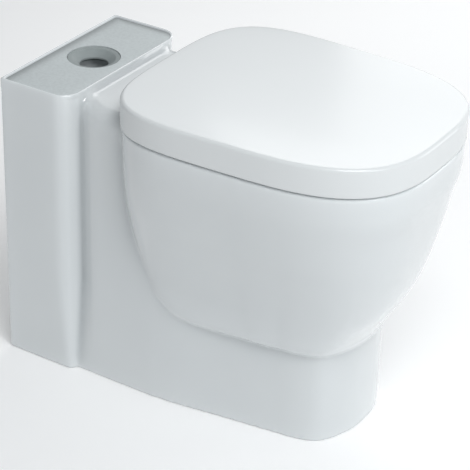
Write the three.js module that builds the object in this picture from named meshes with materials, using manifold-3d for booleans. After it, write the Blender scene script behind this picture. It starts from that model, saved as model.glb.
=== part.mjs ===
// Back-to-wall toilet pan with a flat cistern seat and a hinged seat and wrap-over lid.
// Millimetres, +Z up, front towards -Y, wall side towards +Y, symmetric about X = 0.
// Heights are measured from the floor, and Y from the middle of the bowl.
import * as THREE from 'three';
import { mergeVertices } from 'three/addons/utils/BufferGeometryUtils.js';
import Module from 'manifold-3d';

const wasm = await Module();
wasm.setup();

// Clearances
const seatGap = 0.3;
const turnGap = 0.6;
const cutOverrun = 1;

// Tub: the flared upper body of the pan
const rimHeight = 422;
const rimHalfWidth = 173.5;
const rimFront = 211;
const rimRear = 209;
const rimEdgeRadius = 2;
const tubFrontPower = 3.05;
const tubRearPower = 3.9;
const tubFootRearPower = 5;
const tubTaperShare = 0.045;
const tubFootTaperShare = 0.15;
const tubBottomHeight = 139;
const tubSideDraw = 68.7;
const tubFrontDraw = 82.4;
const tubRearDraw = 60.7;
// height share from the rim down to the tub's foot, then shares of the side, front and rear draws
const tubDrawShares = [
  [1, 1, 1, 1], [0.992, 0.951, 0.983, 0.932], [0.975, 0.901, 0.959, 0.837], [0.94, 0.847, 0.888, 0.692],
  [0.88, 0.795, 0.771, 0.428], [0.8, 0.726, 0.602, 0.305], [0.68, 0.59, 0.426, 0.171], [0.54, 0.408, 0.291, 0.089],
  [0.4, 0.226, 0.192, 0.043], [0.26, 0.103, 0.106, 0.02], [0.12, 0.017, 0.007, 0.007],
];
// half front of the tub's foot, from the side to the middle: shares of its half width and front reach
const tubFootShares = [
  [1, 0], [0.952, 0.298], [0.922, 0.486], [0.887, 0.617], [0.84, 0.721], [0.775, 0.798], [0.674, 0.859],
  [0.538, 0.913], [0.367, 0.963], [0.193, 0.991], [0, 1],
];

// Skirt: the upright pedestal with a bowed front, running back to the cistern seat
const skirtHalfWidth = 123;
const skirtFront = 127.5;
const skirtWaist = 150;
// half outline from the front middle to the waist: share of half width, share of the way back
const skirtPlanShares = [
  [0, 0], [0.163, 0.004], [0.31, 0.017], [0.455, 0.04], [0.57, 0.065], [0.655, 0.093], [0.71, 0.128],
  [0.75, 0.176], [0.78, 0.236], [0.805, 0.3225], [0.846, 0.46], [0.886, 0.596], [0.935, 0.74], [0.976, 0.87], [1, 1],
];
const neckGrooveLength = 40;
const neckGrooveDepth = 17;
const neckGrooveFade = 145;
const deckRoll = 12;
// share of the groove's length, share of its depth
const neckGrooveShares = [[0, 0], [0.3, 0.1], [0.6, 0.42], [0.82, 0.78], [1, 1]];
const grooveFadeShares = [0, 0.33, 0.67, 1];

// Cistern seat: the slim box behind the bowl
const boxHalfWidth = 133.5;
const boxFront = 278;
const boxBack = 393.5;
const boxRise = 11;
const boxCornerRadius = 28;
const boxFootCornerRadius = 12;
const boxArris = 1.2;
const coveRadius = 9;
const lipWidth = 4;
const recessDepth = 7;

// Casting: walls, bowl and water ways
const wall = 10;
const deckThickness = 18;
const sideRimWidth = 40.5;
const frontRimWidth = 39;
const bowlRear = 120;
const bowlFrontPower = 2.5;
const bowlRearPower = 2.8;
const sumpHeight = 172;
// depth share, then shares of the bowl's half width, front reach and rear reach
const bowlShares = [
  [1, 0.28, 0.06, 0.5], [0.87, 0.345, 0.2, 0.58], [0.74, 0.45, 0.37, 0.68], [0.56, 0.635, 0.585, 0.82],
  [0.36, 0.815, 0.8, 0.92], [0.16, 0.95, 0.95, 0.98], [0.04, 0.99, 0.99, 0.995], [0, 1, 1, 1],
];
const trapRadius = 28;
const trapFall = 44;
const trapRise = 78;
const trapRun = 42;
const outletHeight = 180;
const outletRadius = 51;
const outletBore = 42;
const outletLength = 78;
const outletInset = 18;
const inletRadius = 34;
const inletSetBack = 60;
const inletDepth = 66;
const ductHalfWidth = 34;
const ductHeight = 32;
const ductDrop = 24;

// Lid
const lidSideOverhang = 1.5;
const lidFrontOverhang = 1;
const lidRearOverhang = 2;
const lidBand = 40;
const lidLift = 2;
const lidWall = 4.5;
const lidTopThickness = 5;
const lidEdgeRadius = 5;
const lidCrown = 1.2;
const lidNotchSideInset = 37;
const lidRearNotchReach = 6;
const postNotchRise = 12;
const postNotchSide = 2;

// Seat
const seatSideGap = 2;
const seatLift = 4;
const seatThickness = 22;
const seatEdgeRadius = 5;
const seatHingeGap = 28;
const seatRingSide = 63;
const seatRingFront = 64;
const seatHoleRear = 112;
const seatHoleDish = 7;
const seatHoleFrontPower = 2.3;
const seatHoleRearPower = 2.7;

// Hinges and their fixings
const hingeSideInset = 96;
const hingeSetBack = 17;
const hingeLift = 24;
const hingeRadius = 9;
const pinRadius = 4;
const postWidth = 14;
const lugWidth = 8;
const baseRadius = 17;
const baseThickness = 3;
const gasketThickness = 1.2;
const studRadius = 4;
const studReach = 10;
const studTail = 8;
const deckHoleRadius = 7.5;
const coneRadius = 13;
const coneFootRadius = 10;
const coneHeight = 8;
const coneNose = 3;
const washerRadius = 12;
const washerThickness = 2;
const nutRadius = 8;
const nutHeight = 10;
const wingSpan = 19;
const wingThickness = 4;
const wingRise = 4;
const armRoot = 14;
const armRootDepth = 16;

// Buffers
const seatBufferRadius = 8;
const seatBufferPocket = 2.7;
const lidBufferRadius = 7;
const sideBufferInset = 25;
const sideBufferY = 45;
const frontBufferShare = 0.41;
const frontBufferInset = 24;

// Cistern gasket and inlet seal
const padThickness = 4;
const padSideGap = 0.5;
const sealRadius = 37;
const sealFlange = 3;
const sealBore = 20;
const sealDish = 9;
const sealWall = 3;
const sealSkirt = 16;

// Facet counts
const planSteps = 48;
const skirtSteps = 22;
const roundSteps = 20;
const smallSteps = 12;
const arcSteps = 3;
const trapSteps = 18;

// Places that several pieces share
const bowlHalfWidth = rimHalfWidth - sideRimWidth;
const bowlFront = rimFront - frontRimWidth;
const lidHalfWidth = rimHalfWidth + lidSideOverhang;
const lidFront = rimFront + lidFrontOverhang;
const lidRear = rimRear + lidRearOverhang;
const boxHeight = rimHeight + boxRise;
const deckUnderside = rimHeight - deckThickness;
const lidBottom = rimHeight + lidLift;
const lidTop = lidBottom + lidBand;
const lidUnderside = lidTop - lidTopThickness;
const seatBottom = rimHeight + seatLift + seatGap;
const seatTop = seatBottom + seatThickness;
const hingeY = lidRear - hingeSetBack;
const hingeZ = rimHeight + hingeLift;
const hingeX = rimHalfWidth - hingeSideInset;
const seatRearReach = hingeY - seatHingeGap;
const seatHoleHalfWidth = lidHalfWidth - seatRingSide;
const seatHoleFront = lidFront - seatRingFront;
const sideBufferX = lidHalfWidth - sideBufferInset;
const frontBufferX = lidHalfWidth * frontBufferShare;
const lidRearNotchHalfWidth = lidHalfWidth - lidNotchSideInset;
const recessFloor = boxHeight - recessDepth;
const inletY = boxBack - inletSetBack;
const outletFace = boxBack - outletInset;
const outletStart = outletFace - outletLength;
const ductFloor = rimHeight - ductDrop - ductHeight;

const glaze = new THREE.MeshStandardMaterial({ color: 0xeef1f1, roughness: 0.08, metalness: 0 });
const thermoset = new THREE.MeshStandardMaterial({ color: 0xf4f6f6, roughness: 0.18, metalness: 0 });
const chrome = new THREE.MeshStandardMaterial({ color: 0xc9cccd, roughness: 0.12, metalness: 1 });
const steel = new THREE.MeshStandardMaterial({ color: 0xa6aaab, roughness: 0.3, metalness: 1 });
const nylon = new THREE.MeshStandardMaterial({ color: 0xe4e4e0, roughness: 0.45, metalness: 0 });
const clearRubber = new THREE.MeshStandardMaterial({ color: 0xd9dcdc, roughness: 0.6, metalness: 0 });
const foam = new THREE.MeshStandardMaterial({ color: 0xbbc0c1, roughness: 0.9, metalness: 0 });
const greyRubber = new THREE.MeshStandardMaterial({ color: 0x8d9595, roughness: 0.7, metalness: 0 });

// A geometry with only merged positions, as a solid for joining and cutting
function solid(geometry) {
  const bare = geometry.clone();
  bare.deleteAttribute('normal');
  bare.deleteAttribute('uv');
  const merged = mergeVertices(bare);
  const corners = merged.index.array;
  const kept = [];
  for (let i = 0; i < corners.length; i += 3) {
    const [a, b, c] = [corners[i], corners[i + 1], corners[i + 2]];
    if (a !== b && b !== c && c !== a) kept.push(a, b, c);
  }
  const vertProperties = Float32Array.from(merged.attributes.position.array);
  return new wasm.Manifold(new wasm.Mesh({ numProp: 3, vertProperties, triVerts: Uint32Array.from(kept) }));
}

function surface(body) {
  const mesh = body.getMesh();
  const geometry = new THREE.BufferGeometry();
  geometry.setAttribute('position', new THREE.BufferAttribute(mesh.vertProperties, 3));
  geometry.setIndex(new THREE.BufferAttribute(mesh.triVerts, 1));
  geometry.computeVertexNormals();
  return geometry;
}

// Closed skin through rings of equal count, listed anticlockwise and from the bottom up
function loft(rings) {
  const count = rings[0].length;
  const points = [];
  const faces = [];
  for (const ring of rings) for (const p of ring) points.push(p.x, p.y, p.z);
  for (let k = 0; k + 1 < rings.length; k += 1) {
    for (let j = 0; j < count; j += 1) {
      const a = k * count + j;
      const b = k * count + (j + 1) % count;
      faces.push(a, b, b + count, a, b + count, a + count);
    }
  }
  for (const [k, flip] of [[0, true], [rings.length - 1, false]]) {
    const middle = new THREE.Vector3();
    for (const p of rings[k]) middle.addScaledVector(p, 1 / count);
    const hub = points.length / 3;
    points.push(middle.x, middle.y, middle.z);
    for (let j = 0; j < count; j += 1) {
      const a = k * count + j;
      const b = k * count + (j + 1) % count;
      if (flip) faces.push(hub, b, a);
      else faces.push(hub, a, b);
    }
  }
  const geometry = new THREE.BufferGeometry();
  geometry.setAttribute('position', new THREE.Float32BufferAttribute(points, 3));
  geometry.setIndex(faces);
  return geometry;
}

const signedPower = (value, power) => Math.sign(value) * Math.abs(value) ** power;

// Rounded plan outline: front and rear reaches from a middle line, each with its own squareness
function planRing(form, z) {
  const { halfWidth, front, rear, frontPower, rearPower, middle = 0 } = form;
  const { taperShare = 0, rearTaperShare = taperShare, footShare = 0 } = form;
  const ring = [];
  for (let i = 0; i < planSteps; i += 1) {
    const angle = (2 * Math.PI * i) / planSteps;
    const behind = Math.sin(angle) > 0;
    const power = 2 / (behind ? rearPower : frontPower);
    const reach = behind ? rear - middle : front + middle;
    const along = signedPower(Math.sin(angle), power);
    const across = signedPower(Math.cos(angle), power);
    const y = middle + reach * along;
    const widen = 1 + ((behind ? rearTaperShare : taperShare) * y) / front;
    const point = new THREE.Vector3(halfWidth * widen * across, y, z);
    if (footShare > 0 && !behind) {
      const [footAcross, footAlong] = footPoint(Math.abs(across), -along);
      const footX = Math.sign(across) * halfWidth * footAcross;
      point.lerp(new THREE.Vector3(footX, middle - reach * footAlong, z), footShare);
    }
    ring.push(point);
  }
  return ring;
}

// Where a ray from the middle of the tub's foot crosses its front outline, in shares
function footPoint(across, along) {
  const side = ([x, y]) => x * along - y * across;
  const next = Math.max(tubFootShares.findIndex((share) => side(share) <= 0), 1);
  const [low, high] = [tubFootShares[next - 1], tubFootShares[next]];
  const part = side(low) / (side(low) - side(high));
  return [low[0] + part * (high[0] - low[0]), low[1] + part * (high[1] - low[1])];
}

function inset(form, depth) {
  return {
    ...form,
    halfWidth: form.halfWidth - depth,
    front: form.front - depth,
    rear: form.rear - depth,
  };
}

// Rings of a quarter round: outward at the start height, drawn in by the radius at the end
function quarterRound(form, startZ, radius, rise) {
  const rings = [];
  for (let i = 1; i <= arcSteps; i += 1) {
    const angle = (Math.PI / 2) * (i / arcSteps);
    const depth = radius * (1 - Math.cos(angle));
    rings.push(planRing(inset(form, depth), startZ + rise * radius * Math.sin(angle)));
  }
  return rings;
}

// Block given by its low and high corners
function block(low, high) {
  const size = new THREE.Vector3().subVectors(high, low);
  const middle = new THREE.Vector3().addVectors(low, high).multiplyScalar(1 / 2);
  return solid(new THREE.BoxGeometry(size.x, size.y, size.z).translate(middle.x, middle.y, middle.z));
}

const corner = (x, y, z) => new THREE.Vector3(x, y, z);

// Upright round bar, and a round bar along Y or X
function uprightBar(radius, x, y, lowZ, highZ, steps = roundSteps) {
  const bar = new THREE.CylinderGeometry(radius, radius, highZ - lowZ, steps).rotateX(Math.PI / 2);
  return bar.translate(x, y, (lowZ + highZ) / 2);
}

function barAlongY(radius, x, z, lowY, highY, steps = roundSteps) {
  return new THREE.CylinderGeometry(radius, radius, highY - lowY, steps).translate(x, (lowY + highY) / 2, z);
}

function barAlongX(radius, y, z, lowX, highX, steps = roundSteps) {
  const bar = new THREE.CylinderGeometry(radius, radius, highX - lowX, steps).rotateZ(Math.PI / 2);
  return bar.translate((lowX + highX) / 2, y, z);
}

// Plate with a side outline of [y, z] points, spread along X
function sidePlate(outline, lowX, highX) {
  const shape = new THREE.Shape(outline.map(([y, z]) => new THREE.Vector2(y, z)));
  const plate = new THREE.ExtrudeGeometry(shape, { depth: highX - lowX, bevelEnabled: false });
  plate.applyMatrix4(new THREE.Matrix4().makeBasis(corner(0, 1, 0), corner(0, 0, 1), corner(1, 0, 0)));
  return solid(plate.translate(lowX, 0, 0));
}

// Turned piece: a closed [radius, z] outline round an upright axis
function turned(outline, x, y, steps = roundSteps) {
  const closed = [...outline, outline[0]].map(([radius, z]) => new THREE.Vector2(radius, z));
  return solid(new THREE.LatheGeometry(closed, steps).rotateX(Math.PI / 2).translate(x, y, 0));
}

const tubForm = {
  halfWidth: rimHalfWidth,
  front: rimFront,
  rear: rimRear,
  frontPower: tubFrontPower,
  rearPower: tubRearPower,
  taperShare: tubTaperShare,
};

// Tub section at a share of its height below the rim: the nearer the foot, the squarer its corners
function tubSection([drop, side, front, rear], depth = 0) {
  const form = {
    ...tubForm,
    halfWidth: rimHalfWidth - tubSideDraw * side,
    front: rimFront - tubFrontDraw * front,
    rear: rimRear - tubRearDraw * rear,
    rearPower: tubRearPower + (tubFootRearPower - tubRearPower) * front,
    rearTaperShare: tubTaperShare + (tubFootTaperShare - tubTaperShare) * front,
    footShare: front,
  };
  return planRing(inset(form, depth), rimHeight - drop * (rimHeight - tubBottomHeight));
}

function tubOuter() {
  const rings = tubDrawShares.map((shares) => tubSection(shares));
  const shoulder = rimHeight - rimEdgeRadius;
  return solid(loft([...rings, planRing(tubForm, shoulder), ...quarterRound(tubForm, shoulder, rimEdgeRadius, 1)]));
}

function tubInner() {
  const rings = tubDrawShares.map((shares) => tubSection(shares, wall));
  const top = planRing(inset(tubForm, wall), deckUnderside);
  return solid(loft([...rings.filter((ring) => ring[0].z < deckUnderside), top]));
}

// Skirt and neck outline, drawn in by a depth, with the groove beside the cistern seat
function skirtRing(z, depth, grooveShare, rear) {
  const reach = skirtFront + skirtWaist;
  const controls = skirtPlanShares.map(
    ([x, y]) => new THREE.Vector2(x * (skirtHalfWidth - depth), depth - skirtFront + y * (reach - depth)),
  );
  const half = new THREE.SplineCurve(controls).getPoints(skirtSteps);
  const grooveStart = boxFront - neckGrooveLength;
  for (const [along, deep] of neckGrooveShares) {
    const x = skirtHalfWidth - depth - deep * grooveShare * neckGrooveDepth;
    half.push(new THREE.Vector2(x, grooveStart + along * neckGrooveLength));
  }
  half.push(new THREE.Vector2(half[half.length - 1].x, rear));
  const right = half.slice(1).map((p) => corner(p.x, p.y, z));
  const left = half.slice(1).reverse().map((p) => corner(-p.x, p.y, z));
  return [corner(0, depth - skirtFront, z), ...right, ...left];
}

function skirtOuter() {
  const rear = boxFront + boxCornerRadius;
  const rings = grooveFadeShares.map((share) => skirtRing(share * neckGrooveFade, 0, share, rear));
  const shoulder = rimHeight - deckRoll;
  rings.push(skirtRing(shoulder, 0, 1, rear));
  for (let i = 1; i <= arcSteps; i += 1) {
    const angle = (Math.PI / 2) * (i / arcSteps);
    rings.push(skirtRing(shoulder + deckRoll * Math.sin(angle), deckRoll * (1 - Math.cos(angle)), 1, rear));
  }
  return solid(loft(rings));
}

function skirtInner() {
  const rear = boxFront + boxCornerRadius;
  const rings = grooveFadeShares.map((share) => skirtRing(share * neckGrooveFade, wall, share, rear));
  rings.push(skirtRing(deckUnderside, wall, 1, rear));
  rings.unshift(skirtRing(-cutOverrun, wall, 0, rear));
  return solid(loft(rings));
}

// Cistern seat outline with two rounded front corners
function boxRing(z, radius, depth, back = boxBack - depth) {
  const half = boxHalfWidth - depth;
  const front = boxFront + depth;
  const ring = [corner(half, back, z), corner(-half, back, z)];
  const steps = 2 * arcSteps;
  for (let i = 0; i <= steps; i += 1) {
    const angle = Math.PI + (Math.PI / 2) * (i / steps);
    const x = radius - half + radius * Math.cos(angle);
    ring.push(corner(x, front + radius + radius * Math.sin(angle), z));
  }
  for (let i = 0; i <= steps; i += 1) {
    const angle = (3 * Math.PI) / 2 + (Math.PI / 2) * (i / steps);
    const x = half - radius + radius * Math.cos(angle);
    ring.push(corner(x, front + radius + radius * Math.sin(angle), z));
  }
  return ring;
}

function boxOuter() {
  const spread = boxCornerRadius - boxFootCornerRadius;
  const rings = grooveFadeShares.map(
    (share) => boxRing(share * neckGrooveFade, boxFootCornerRadius + share * spread, 0),
  );
  rings.push(boxRing(boxHeight - boxArris, boxCornerRadius, 0));
  rings.push(boxRing(boxHeight, boxCornerRadius - boxArris, boxArris));
  return solid(loft(rings));
}

function boxInner() {
  const top = recessFloor - wall;
  const radius = boxCornerRadius - wall;
  const back = boxBack + cutOverrun;
  return solid(loft([boxRing(-cutOverrun, radius, wall, back), boxRing(top, radius, wall, back)]));
}

// Hollow cove between the deck and the cistern seat's front face
function cove() {
  const outline = [[boxFront + cutOverrun, rimHeight - cutOverrun], [boxFront + cutOverrun, rimHeight + coveRadius]];
  const steps = 2 * arcSteps;
  for (let i = 0; i <= steps; i += 1) {
    const angle = (Math.PI / 2) * (i / steps);
    const y = boxFront - coveRadius + coveRadius * Math.cos(angle);
    outline.push([y, rimHeight + coveRadius - coveRadius * Math.sin(angle)]);
  }
  outline.push([boxFront - coveRadius, rimHeight - cutOverrun]);
  const half = skirtHalfWidth - neckGrooveDepth - deckRoll / 2;
  return sidePlate(outline, -half, half);
}

function bowl(depth) {
  const height = rimHeight - sumpHeight;
  const rings = bowlShares.map(([drop, wide, front, rear]) => planRing({
    halfWidth: wide * bowlHalfWidth + depth,
    front: front * bowlFront + depth,
    rear: rear * bowlRear + depth,
    frontPower: bowlFrontPower,
    rearPower: bowlRearPower,
    middle: ((rear * bowlRear - front * bowlFront) / 2) * Math.min(1, drop * 2),
  }, rimHeight - drop * height - (drop === 1 ? depth : 0)));
  if (depth === 0) rings.push(rings[rings.length - 1].map((p) => corner(p.x, p.y, p.z + cutOverrun)));
  return solid(loft(rings));
}

// Waste way: down from the sump, up over the weir and back to the outlet
const trapStart = corner(0, (bowlShares[0][3] * bowlRear) / 2, sumpHeight + trapRadius);
const trapPath = new THREE.CatmullRomCurve3([
  trapStart,
  corner(0, trapStart.y + trapRun / 2, sumpHeight - trapRadius / 2),
  corner(0, trapStart.y + trapRun * 1.5, sumpHeight - trapFall),
  corner(0, trapStart.y + trapRun * 2.5, sumpHeight - trapRadius / 2),
  corner(0, trapStart.y + trapRun * 3, sumpHeight + trapRadius),
  corner(0, trapStart.y + trapRun * 3.75, sumpHeight + trapRise),
  corner(0, trapStart.y + trapRun * 4.75, sumpHeight + trapRise - trapRadius / 2),
  corner(0, outletStart - trapRun / 2, outletHeight + trapRadius / 2),
  corner(0, outletStart + trapRadius, outletHeight),
]);

function trapTube(radius) {
  const section = new THREE.Shape().absarc(0, 0, radius, 0, 2 * Math.PI, false);
  const options = { steps: trapSteps, extrudePath: trapPath, bevelEnabled: false, curveSegments: smallSteps };
  return solid(new THREE.ExtrudeGeometry(section, options));
}

// Flush way: a well below the inlet and a duct forward to the back of the bowl
const ductMouth = bowlRear / 2;
const inletFoot = boxHeight - inletDepth;

function flushOuter() {
  const side = ductHalfWidth + wall;
  const duct = block(corner(-side, ductMouth, ductFloor - wall), corner(side, inletY, deckUnderside - seatGap));
  const well = uprightBar(inletRadius + wall, 0, inletY, ductFloor - wall, recessFloor - wall - seatGap);
  return duct.add(solid(well));
}

function flushWay() {
  const duct = block(
    corner(-ductHalfWidth, ductMouth, ductFloor),
    corner(ductHalfWidth, inletY, ductFloor + ductHeight),
  );
  const well = uprightBar(inletRadius, 0, inletY, ductFloor, boxHeight);
  return duct.add(solid(well));
}

// Outer casting: tub, skirt and cistern seat, hollow and open at the floor and the back
function pan() {
  const outside = tubOuter().add(skirtOuter()).add(boxOuter()).add(cove());
  const hollow = tubInner().add(skirtInner()).add(boxInner());
  const recess = solid(loft([
    boxRing(recessFloor, boxCornerRadius - lipWidth, lipWidth),
    boxRing(boxHeight + cutOverrun, boxCornerRadius - lipWidth, lipWidth),
  ]));
  const inlet = solid(uprightBar(inletRadius, 0, inletY, recessFloor - wall - cutOverrun, boxHeight));
  let body = outside.subtract(hollow).subtract(bowl(0)).subtract(recess).subtract(inlet);
  for (const side of [-1, 1]) {
    const hole = uprightBar(deckHoleRadius, side * hingeX, hingeY, deckUnderside - cutOverrun, rimHeight + cutOverrun);
    body = body.subtract(solid(hole));
  }
  return body;
}

// Bowl shell under the deck, open at the top, to the flush duct and to the trap
function bowlShell() {
  const deck = block(
    corner(-rimHalfWidth, -rimFront, deckUnderside - seatGap),
    corner(rimHalfWidth, rimRear, rimHeight + cutOverrun),
  );
  return bowl(wall).subtract(bowl(0)).subtract(deck).subtract(trapTube(trapRadius)).subtract(flushWay());
}

function trapway() {
  const tube = trapTube(trapRadius + wall).subtract(trapTube(trapRadius));
  const beyond = block(corner(-outletRadius, outletStart - seatGap, 0), corner(outletRadius, boxBack, rimHeight));
  return tube.subtract(bowl(wall + seatGap)).subtract(beyond);
}

function flushCasing() {
  return flushOuter().subtract(flushWay()).subtract(bowl(wall + seatGap));
}

function outletSpigot() {
  const outside = solid(barAlongY(outletRadius, 0, outletHeight, outletStart, outletFace));
  const bore = barAlongY(outletBore, 0, outletHeight, outletStart + wall, outletFace + cutOverrun);
  return outside.subtract(solid(bore)).subtract(trapTube(trapRadius));
}

const lidForm = { ...tubForm, halfWidth: lidHalfWidth, front: lidFront, rear: lidRear };

// Lid: a shallow shell whose band wraps over the seat, open at the back where it turns past the deck
function lid() {
  const edge = lidTop - lidEdgeRadius;
  const rounded = quarterRound(lidForm, edge, lidEdgeRadius, 1);
  const crown = inset(lidForm, lidHalfWidth / 2);
  const skin = loft([planRing(lidForm, lidBottom), planRing(lidForm, edge), ...rounded, planRing(crown, lidTop + lidCrown)]);
  const insideForm = inset(lidForm, lidWall);
  const inside = loft([planRing(insideForm, lidBottom - cutOverrun), planRing(insideForm, lidUnderside)]);
  const notch = block(
    corner(-lidRearNotchHalfWidth, hingeY - lidRearNotchReach, lidBottom - cutOverrun),
    corner(lidRearNotchHalfWidth, lidRear + cutOverrun, hingeZ - lidRearNotchReach),
  );
  let body = solid(skin).subtract(solid(inside)).subtract(notch);
  for (const side of [-1, 1]) {
    const reach = postWidth / 2 + postNotchSide;
    body = body.subtract(block(
      corner(side * hingeX - reach, hingeY + hingeRadius, lidBottom - cutOverrun),
      corner(side * hingeX + reach, lidRear + cutOverrun, hingeZ + postNotchRise),
    ));
    const near = hingeX + postWidth / 2 + turnGap;
    const [low, high] = side > 0 ? [near, near + lugWidth] : [-near - lugWidth, -near];
    const web = sidePlate([
      [hingeY - hingeRadius, hingeZ],
      [hingeY + hingeRadius, hingeZ],
      [hingeY + hingeRadius, lidUnderside + lidTopThickness / 2],
      [hingeY - hingeRadius, lidUnderside + lidTopThickness / 2],
    ], low, high);
    const round = solid(barAlongX(hingeRadius, hingeY, hingeZ, low, high));
    const bore = barAlongX(pinRadius + seatGap, hingeY, hingeZ, low - cutOverrun, high + cutOverrun, smallSteps);
    body = body.add(web.add(round)).subtract(solid(bore));
  }
  return body;
}

// Seat: a ring under the lid with a dished hole, two arms to the hinge pins and pockets for its buffers
const bufferPlaces = [
  [sideBufferX, sideBufferY],
  [-sideBufferX, sideBufferY],
  [frontBufferX, frontBufferInset - rimFront],
  [-frontBufferX, frontBufferInset - rimFront],
];

function seat() {
  const form = inset(lidForm, lidWall + seatSideGap);
  const low = planRing(inset(form, seatEdgeRadius / 2), seatBottom);
  const side = planRing(form, seatBottom + seatEdgeRadius / 2);
  const shoulder = planRing(form, seatTop - seatEdgeRadius);
  const disc = solid(loft([low, side, shoulder, ...quarterRound(form, seatTop - seatEdgeRadius, seatEdgeRadius, 1)]));
  const hole = {
    halfWidth: seatHoleHalfWidth,
    front: seatHoleFront,
    rear: seatHoleRear,
    frontPower: seatHoleFrontPower,
    rearPower: seatHoleRearPower,
    middle: (seatHoleRear - seatHoleFront) / 2,
  };
  const cut = solid(loft([
    planRing(inset(hole, -seatHoleDish / 3), seatBottom - cutOverrun),
    planRing(hole, seatBottom + seatThickness / 3),
    planRing(inset(hole, -seatHoleDish / 4), seatTop - seatHoleDish),
    planRing(inset(hole, -seatHoleDish), seatTop - seatHoleDish / 4),
    planRing(inset(hole, -seatHoleDish * 1.5), seatTop + cutOverrun),
  ]));
  const rearCut = block(
    corner(-lidHalfWidth * 2, seatRearReach, seatBottom - cutOverrun),
    corner(lidHalfWidth * 2, lidRear, seatTop + cutOverrun),
  );
  let body = disc.subtract(rearCut).subtract(cut);
  for (const side of [-1, 1]) {
    const far = hingeX - postWidth / 2 - turnGap;
    const [low, high] = side > 0 ? [far - lugWidth, far] : [-far, lugWidth - far];
    const arm = sidePlate([
      [seatRearReach - armRoot, seatTop - armRootDepth],
      [hingeY, hingeZ - hingeRadius],
      [hingeY, hingeZ + hingeRadius],
      [seatRearReach - armRoot, seatTop - seatEdgeRadius / 2],
    ], low, high);
    const round = solid(barAlongX(hingeRadius, hingeY, hingeZ, low, high));
    const bore = barAlongX(pinRadius + seatGap, hingeY, hingeZ, low - cutOverrun, high + cutOverrun, smallSteps);
    body = body.add(arm.add(round)).subtract(solid(bore));
  }
  for (const [x, y] of bufferPlaces) {
    const pocket = uprightBar(
      seatBufferRadius + seatGap, x, y, seatBottom - cutOverrun, seatBottom + seatBufferPocket, smallSteps,
    );
    body = body.subtract(solid(pocket));
  }
  return body;
}

// Hinge base: a round foot with a post that carries the pin, bored from below for the stud
const gasketLow = rimHeight + seatGap;
const baseLow = gasketLow + gasketThickness + seatGap;
const baseTop = baseLow + baseThickness;

function hingeBase(x) {
  const foot = solid(uprightBar(baseRadius, x, hingeY, baseLow, baseTop));
  const [low, high] = [x - postWidth / 2, x + postWidth / 2];
  const post = sidePlate([
    [hingeY - hingeRadius, baseLow + baseThickness / 2],
    [hingeY + hingeRadius, baseLow + baseThickness / 2],
    [hingeY + hingeRadius, hingeZ],
    [hingeY - hingeRadius, hingeZ],
  ], low, high);
  const round = solid(barAlongX(hingeRadius, hingeY, hingeZ, low, high));
  const bore = barAlongX(pinRadius + seatGap, hingeY, hingeZ, low - cutOverrun, high + cutOverrun, smallSteps);
  const socket = uprightBar(
    studRadius + seatGap, x, hingeY, baseLow - cutOverrun, baseLow + studReach + seatGap, smallSteps,
  );
  return foot.add(post).add(round).subtract(solid(bore)).subtract(solid(socket));
}

function hingePin(side) {
  const near = hingeX - postWidth / 2 - turnGap - lugWidth;
  const far = hingeX + postWidth / 2 + turnGap + lugWidth;
  const [low, high] = side > 0 ? [near, far] : [-far, -near];
  return solid(barAlongX(pinRadius, hingeY, hingeZ, low, high, smallSteps));
}

function hingeGasket(x) {
  return turned([
    [deckHoleRadius, gasketLow],
    [baseRadius, gasketLow],
    [baseRadius, gasketLow + gasketThickness],
    [deckHoleRadius, gasketLow + gasketThickness],
  ], x, hingeY);
}

// Fixings below the deck, stacked downwards: cone, washer and wing nut on the stud
const coneTop = deckUnderside - seatGap;
const coneLow = coneTop - coneHeight;
const washerTop = coneLow - seatGap;
const washerLow = washerTop - washerThickness;
const nutTop = washerLow - seatGap;
const nutLow = nutTop - nutHeight;
const threadRadius = studRadius + seatGap;

function stud(x) {
  return solid(uprightBar(studRadius, x, hingeY, nutLow - studTail, baseLow + studReach, smallSteps));
}

function coneWasher(x) {
  return turned([
    [threadRadius, coneLow],
    [coneFootRadius, coneLow],
    [coneRadius, coneTop],
    [deckHoleRadius - seatGap, coneTop],
    [deckHoleRadius - seatGap * 4, coneTop + coneNose],
    [threadRadius, coneTop + coneNose],
  ], x, hingeY);
}

function flatWasher(x) {
  return turned([
    [threadRadius, washerLow],
    [washerRadius, washerLow],
    [washerRadius, washerTop],
    [threadRadius, washerTop],
  ], x, hingeY);
}

function wingNut(x) {
  const hub = turned([
    [threadRadius, nutLow],
    [nutRadius * 0.8, nutLow],
    [nutRadius, nutTop],
    [threadRadius, nutTop],
  ], x, hingeY, smallSteps);
  let nut = hub;
  for (const side of [-1, 1]) {
    const shape = new THREE.Shape([
      new THREE.Vector2(nutRadius - wingThickness / 2, nutTop - nutHeight / 4),
      new THREE.Vector2(nutRadius - wingThickness / 2, nutLow),
      new THREE.Vector2(wingSpan - wingThickness, nutLow - wingRise),
      new THREE.Vector2(wingSpan, nutLow - wingRise / 2),
      new THREE.Vector2(wingSpan - wingThickness / 2, nutTop - nutHeight / 3),
    ]);
    const wing = new THREE.ExtrudeGeometry(shape, { depth: wingThickness, bevelEnabled: false });
    wing.rotateX(Math.PI / 2).translate(0, wingThickness / 2, 0);
    if (side < 0) wing.rotateZ(Math.PI);
    nut = nut.add(solid(wing.translate(x, hingeY, 0)));
  }
  return nut;
}

function seatBuffer([x, y]) {
  const pad = [
    [0, gasketLow],
    [seatBufferRadius - seatGap * 3, gasketLow],
    [seatBufferRadius, gasketLow + seatGap * 3],
    [seatBufferRadius, seatBottom + seatBufferPocket - seatGap],
    [0, seatBottom + seatBufferPocket - seatGap],
  ];
  return turned(pad, x, y, smallSteps);
}

function lidBuffer([x, y]) {
  const low = seatTop + seatGap;
  const high = lidUnderside - seatGap;
  return turned([[0, low], [lidBufferRadius - lidWall / 3, low], [lidBufferRadius, high], [0, high]], x, y, smallSteps);
}

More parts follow.
